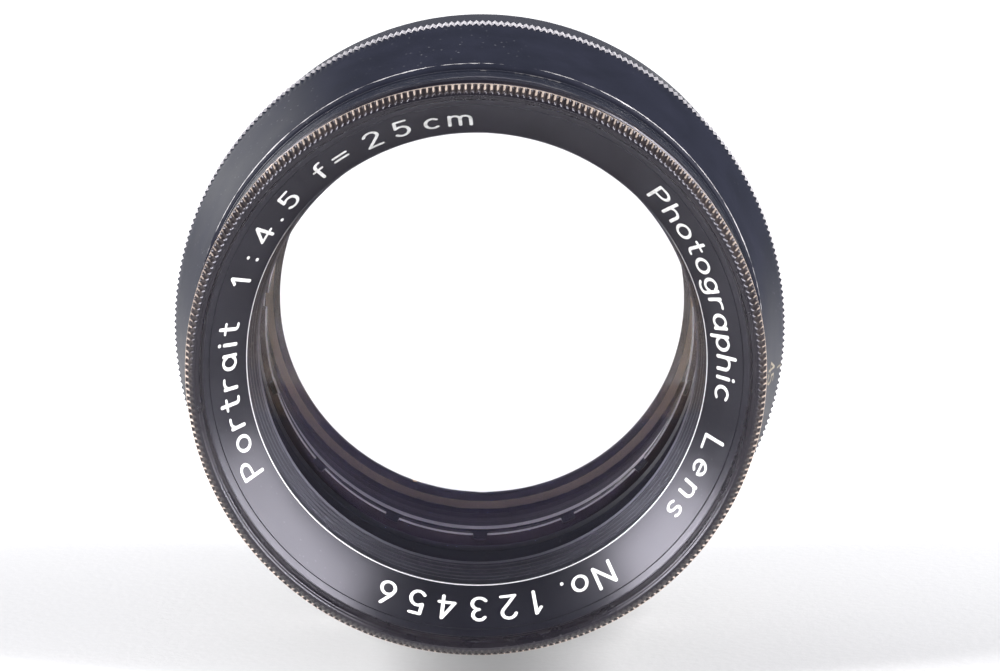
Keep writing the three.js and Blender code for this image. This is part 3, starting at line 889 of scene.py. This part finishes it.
def blade(number):
    """A thin curved strip that rises forwards along its length, with a pivot at one end and a drive
    pin at the other."""
    turn = FIRST_SLOT - SPAN + PITCH * number
    steps = 48
    span = SPAN + 2 * TAIL
    verts, faces, wear_and_glint = [], [], []
    mid = (BLADE_IN + BLADE_OUT) / 2
    half = (BLADE_OUT - BLADE_IN) / 2
    for i in range(steps + 1):
        u = i / steps
        a = turn - TAIL + span * u
        from_end = min(u, 1 - u) * span
        k = min(1.0, 0.3 + 0.7 * math.sqrt(max(0.0, 1 - (1 - min(1, from_end / ROUNDED)) ** 2)))
        s = IRIS_REAR - RISE * u
        for f in (-1, -0.96, 0, 0.96, 1):
            for d in (0, -THICK):
                verts.append(ccw(mid + half * k * f, a, s + d))
                wear_and_glint.append(0.3 if abs(f) == 1 else 0.0)
    n = 10
    for i in range(steps):
        p, q = i * n, (i + 1) * n
        for j in range(4):
            faces.append((p + 2 * j, p + 2 * j + 2, q + 2 * j + 2, q + 2 * j))
            faces.append((p + 2 * j + 1, q + 2 * j + 1, q + 2 * j + 3, p + 2 * j + 3))
        faces.append((p, q, q + 1, p + 1))
        faces.append((p + 8, p + 9, q + 9, q + 8))
    for e in (0, steps * n):
        for j in range(4):
            faces.append((e + 2 * j, e + 2 * j + 1, e + 2 * j + 3, e + 2 * j + 2))
    low = IRIS_REAR - RISE * TAIL / span
    high = IRIS_REAR - RISE * (span - TAIL) / span - THICK
    sides = 20
    for at_angle, s0, s1 in ((turn, low - THICK / 2, PIVOT_END),
                             (turn + SPAN, high + THICK / 2, DRIVE_END)):
        base = len(verts)
        c = ccw(PIVOT_R, at_angle, 0)
        for s, f in ((s0, 1), (s1 + (CHAMFER if s1 < s0 else -CHAMFER), 1), (s1, 0.82)):
            for k in range(sides):
                q = 2 * math.pi * k / sides
                verts.append(Vector((c.x + PIN * f * math.cos(q) / 1000, Y0 + s / 1000,
                                     c.z + PIN * f * math.sin(q) / 1000)))
                wear_and_glint.append(0.9)
        for row in (base, base + sides):
            for k in range(sides):
                j = (k + 1) % sides
                faces.append((row + k, row + j, row + sides + j, row + sides + k))
        faces.append(tuple(base + k for k in range(sides)))
        faces.append(tuple(base + 2 * sides + k for k in range(sides)))
    name = "iris_blade_%02d" % (number + 1)
    finish_mesh(name + "_visual", verts, faces, BLADE, "blade_%02d" % (number + 1), "blade_steel", (name,),
                wear_and_glint, 40)


for b in range(BLADES):
    blade(b)


def drive_ring():
    """The ring that carries the blades' drive pins. Its radial slots are cut from behind; in front
    each shows as a shallow notch. Rows are (r, s, wear, kind), and a column cuts rows by their kind."""
    ring_in = 24.5
    # the rows with a wear of 1.3 make the notches' edges bright: a painted highlight
    rows = [(32.1, 33.8, 0, "body"), (32.1, 38.0, 0, "body"), (24.55, 38.0, 0, "slot"),
            (ring_in, 37.95, 0, "slot"), (ring_in, 37.37, 0, "slot"), (ring_in, 37.33, 0, "notch"),
            (ring_in, 37.24, 0, "notch"), (ring_in, 37.22, 1.3, "notch"), (24.53, 37.1, 1.3, "notch"),
            (24.62, 37.0, 1.3, "notch"), (24.66, 37.0, 0, "notch"), (30.75, 37.0, 0, "body"),
            (31.0, 36.8, 0, "body"), (31.0, 33.8, 0, "body")]
    slot_half, notch_half, slot_end, notch_end = 1.0, 0.8, PIVOT_R + PIN + 0.2, 25.1

    def angle(half, r):
        return math.degrees(math.asin(half / r))

    steps = [(angle(slot_half, ring_in), 0, 0), (angle(slot_half, slot_end), 0, slot_end),
             (angle(notch_half, ring_in) + 0.01, 0, slot_end),
             (angle(notch_half, notch_end), notch_end, slot_end),
             (angle(notch_half, notch_end) * 0.7, notch_end + 0.06, slot_end + 0.25),
             (0.0, notch_end + 0.08, slot_end + 0.35)]
    plain_columns = 14
    columns = []
    for i in range(BLADES):
        centre = FIRST_SLOT + PITCH * i
        columns += [(centre - a, notch, slot) for a, notch, slot in steps]
        columns += [(centre + a, notch, slot) for a, notch, slot in steps[-2::-1]]
        plain = PITCH - 2 * steps[0][0]
        columns += [(centre + steps[0][0] + plain * k / plain_columns, 0, 0)
                    for k in range(1, plain_columns)]
    verts, wear_and_glint = [], []
    for a, notch, slot in columns:
        for r, s, w, kind in rows:
            cut = {"body": 0, "notch": notch, "slot": slot}[kind]
            verts.append(ccw(cut + (r - ring_in if cut else r), a, s))
            wear_and_glint.append(0 if cut else w)
    return finish_mesh("iris_drive_ring_visual", verts, ring_faces(len(columns), len(rows)), BROWNED,
                       "aperture", "iris_brass", ("iris_drive_ring",), wear_and_glint, 35)


cut_away(drive_ring(), *radial_pin(SCREW_HOLE, 30.0, 34.0, SCREW_ANGLE, SCREW_S), smooth=35)
# the rows with a wear of 1.3 make the bore's edges bright: painted highlight lines
seat_plate = turned("iris_seat_plate_visual", [
    (32.1, 41.95), (32.1, 43.0), (25.7, 43.0, 0.0, 0.0), (25.6, 43.0, 1.3, 0.0), (25.5, 42.96, 1.3, 0.0),
    (25.48, 42.88, 0.2, 0.0), (25.46, 42.78, 1.0, 0.0), (25.45, 42.15, 1.3, 0.0), (25.52, 41.97, 1.3, 0.0),
    (25.6, 41.95, 0.0, 0.0)],
    BROWNED, "barrel", "iris_brass", ("iris_seat_plate",), seg=360, radius=0.08)
pivots = [ccw(PIVOT_R, FIRST_SLOT - SPAN + PITCH * i, 0) for i in range(BLADES)]
PIVOT_PLAY = 0.1
cut_away(seat_plate, *axial_pins(PIN + PIVOT_PLAY, pivots, 41.5, 43.5))
turned("iris_snap_ring_visual", [
    (32.15, 32.7, 0.4), (32.15, 33.5), (31.0, 33.5, 0.4), (31.0, 32.7, 0.4)],
    SCREW, "barrel", "steel_screw", ("iris_snap_ring",), radius=0.1)

# ------------------------------------------------------------------ rear barrel, rear cell
rear_barrel = turned("rear_barrel_visual", [
    (34.2, 37.9), (38.8, 37.9, 0.3), (39.1, 38.2, 0.55), (39.1, 56.7, 0.2, 0.05), (38.8, 57.0, 0.5, 0.05),
    (36.35, 57.0, 0.2, 0.0), (36.0, 57.25, 0.0, 0.1)]
    + [p for i in range(9)
       for p in ((35.62, 57.9 + 0.75 * i, 0.15, 0.0), (36.18, 58.27 + 0.75 * i, 0.9, 0.05))]
    + [(35.7, 64.7, 0.2, 0.05), (35.4, 65.0, 0.5, 0.08), (34.6, 65.0, 0.3), (34.3, 64.7, 0.2), (34.3, 61.0),
       (32.35, 61.0), (32.35, 47.2), (34.2, 47.2)],
    REAR, "barrel", "black_lacquer", ("rear_barrel",), seg=360, radius=0.1)
cut_away(rear_barrel, *radial_pin(SET_HOLE, 33.0, 42.0, SET_ANGLE, SET_S))
turned("rear_cell_visual", [
    (32.1, 43.3), (32.1, 61.2), (33.9, 61.2), (33.9, 62.9, 0.2), (33.65, 63.2, 0.4), (33.3, 63.2, 0.0),
    (29.2, 63.2, 0.0), (28.85, 63.2, 0.4), (28.6, 62.9, 0.2), (28.6, 58.2), (27.4, 58.2), (27.4, 43.7),
    (25.85, 43.34, 0.0, 0.02)],
    BORE, "barrel", "rear_lacquer", ("rear_cell",), seg=360, shape=slotted((45, 225), 1.6, 62.4))
turned("rear_retainer_visual", [
    (28.4, 58.45), (28.4, 61.0), (25.3, 61.0, 0.1), (24.95, 60.7, 0.1), (24.95, 58.6), (25.1, 58.45),
    (25.7, 58.45), (25.9, 58.5, 1.3, 0.0), (26.4, 58.5, 1.2, 0.0), (27.1, 58.45)],
    BORE, "barrel", "rear_lacquer", ("rear_retainer",), seg=360, shape=slotted((0, 180), 1.7, 60.2))

# ------------------------------------------------------------------ floor, light, camera
def floor():
    me = bpy.data.meshes.new("floor")
    bm = bmesh.new()
    bmesh.ops.create_grid(bm, x_segments=8, y_segments=8, size=6.0)
    bm.to_mesh(me)
    bm.free()
    ob = bpy.data.objects.new("floor", me)
    bpy.context.collection.objects.link(ob)
    m = Mat("floor_pale")
    fine = m.noise(900.0, 3.0, 0.6)
    sep = m.node("SeparateXYZ")
    m.link(m.coord.outputs["Object"], sep.inputs[0])

    def ramped(value, low, high, start, end):
        n = m.node("MapRange", interpolation_type="SMOOTHSTEP")
        for name, v in (("From Min", low), ("From Max", high), ("To Min", start), ("To Max", end)):
            n.inputs[name].default_value = v
        m.link(value, n.inputs["Value"])
        return n.outputs[0]

    pale = m.mix(fine, (0.555, 0.55, 0.55), (0.615, 0.61, 0.61))
    # painted shade: the sheet's colour darkens to grey far to the right
    widened = m.math("MULTIPLY", m.math("MAXIMUM", sep.outputs["Y"], 0.0), 0.09)
    right = m.math("SUBTRACT", sep.outputs["X"], widened)
    beside = m.math("SUBTRACT", m.math("ABSOLUTE", sep.outputs["X"]), widened)
    m.set(color=m.mix(ramped(right, 0.10, 0.18, 0.0, 1.0), pale, (0.34, 0.34, 0.35)), rough=0.9, spec=0.1)
    m.bump(fine, 0.25, 0.0002)
    # painted light: the floor glows behind the lens, and a little in front of it, most to the left, where it
    # lifts the shade under the lens; the glow fades out to the sides
    behind = m.math("ADD", ramped(sep.outputs["Y"], -0.03, 0.06, 0.0, 0.22),
                    ramped(sep.outputs["Y"], 0.06, 0.14, 0.0, 0.32))
    centre = ramped(beside, 0.10, 0.15, 1.0, 0.0)
    front = m.math("MULTIPLY", ramped(sep.outputs["X"], -0.055, 0.05, 0.40, 0.01),
                   ramped(sep.outputs["Y"], -0.08, 0.03, 1.0, 0.25))
    m.link(m.math("MULTIPLY", m.math("ADD", behind, front), centre), m.bsdf.inputs["Emission Strength"])
    m.bsdf.inputs["Emission Color"].default_value = (1, 1, 1, 1)
    ob.data.materials.append(m.m)


floor()


def softbox(name, direction, distance, size, radiance):
    """A rectangular softbox that faces the lens from a direction, with the given brightness."""
    aim = Vector((AXIS_X, 0, AXIS_Z))
    loc = aim + Vector(direction).normalized() * distance
    li = bpy.data.lights.new(name, "AREA")
    li.shape = "RECTANGLE"
    li.size, li.size_y = size
    li.energy = radiance * math.pi * size[0] * size[1]
    ob = bpy.data.objects.new(name, li)
    ob.location = loc
    ob.rotation_euler = (aim - loc).to_track_quat("-Z", "Y").to_euler()
    bpy.context.collection.objects.link(ob)


softbox("softbox_right", (0.80, -0.30, 0.54), 1.3, (0.45, 1.16), 24.0)
softbox("softbox_left", (-0.80, -0.30, 0.53), 1.3, (0.50, 0.67), 29.0)
softbox("panel_back_left", (-0.55, 0.80, 0.20), 1.8, (0.8, 0.66), 2.1)
softbox("panel_front", (0.0, -1.0, 0.04), 1.5, (0.4, 0.18), 10.0)

# a dim bluish room
world = bpy.data.worlds.new("studio")
bpy.context.scene.world = world
world.use_nodes = True
wn = world.node_tree
bg = wn.nodes["Background"]
co = wn.nodes.new("ShaderNodeTexCoord")
sep = wn.nodes.new("ShaderNodeSeparateXYZ")
wn.links.new(co.outputs["Generated"], sep.inputs[0])
ramp = wn.nodes.new("ShaderNodeValToRGB")
els = ramp.color_ramp.elements
els[0].position, els[0].color = 0.0, (0.26, 0.27, 0.31, 1)
els[1].position, els[1].color = 0.18, (0.14, 0.15, 0.20, 1)
wn.links.new(sep.outputs["Z"], ramp.inputs["Fac"])
wn.links.new(ramp.outputs["Color"], bg.inputs["Color"])
bg.inputs["Strength"].default_value = 1.0

# the camera's place, height and tilt come from the ellipses of the rims in the photograph
cam = bpy.data.cameras.new("camera")
cam.sensor_width = 36.0
cam.lens = 144.0
cam.clip_start, cam.clip_end = 0.01, 100
bpy.context.scene.view_settings.view_transform = "Standard"
cam_ob = bpy.data.objects.new("camera", cam)
RIGHT, BACK, UP = 0.0076, 0.4857, 0.0934
TILT_DOWN, TURN_LEFT = 10.31, 0.54
cam_ob.location = (AXIS_X + RIGHT, Y0 - BACK, AXIS_Z + UP)
cam_ob.rotation_euler = (math.radians(90 - TILT_DOWN), 0, math.radians(TURN_LEFT))
bpy.context.collection.objects.link(cam_ob)
bpy.context.scene.camera = cam_ob
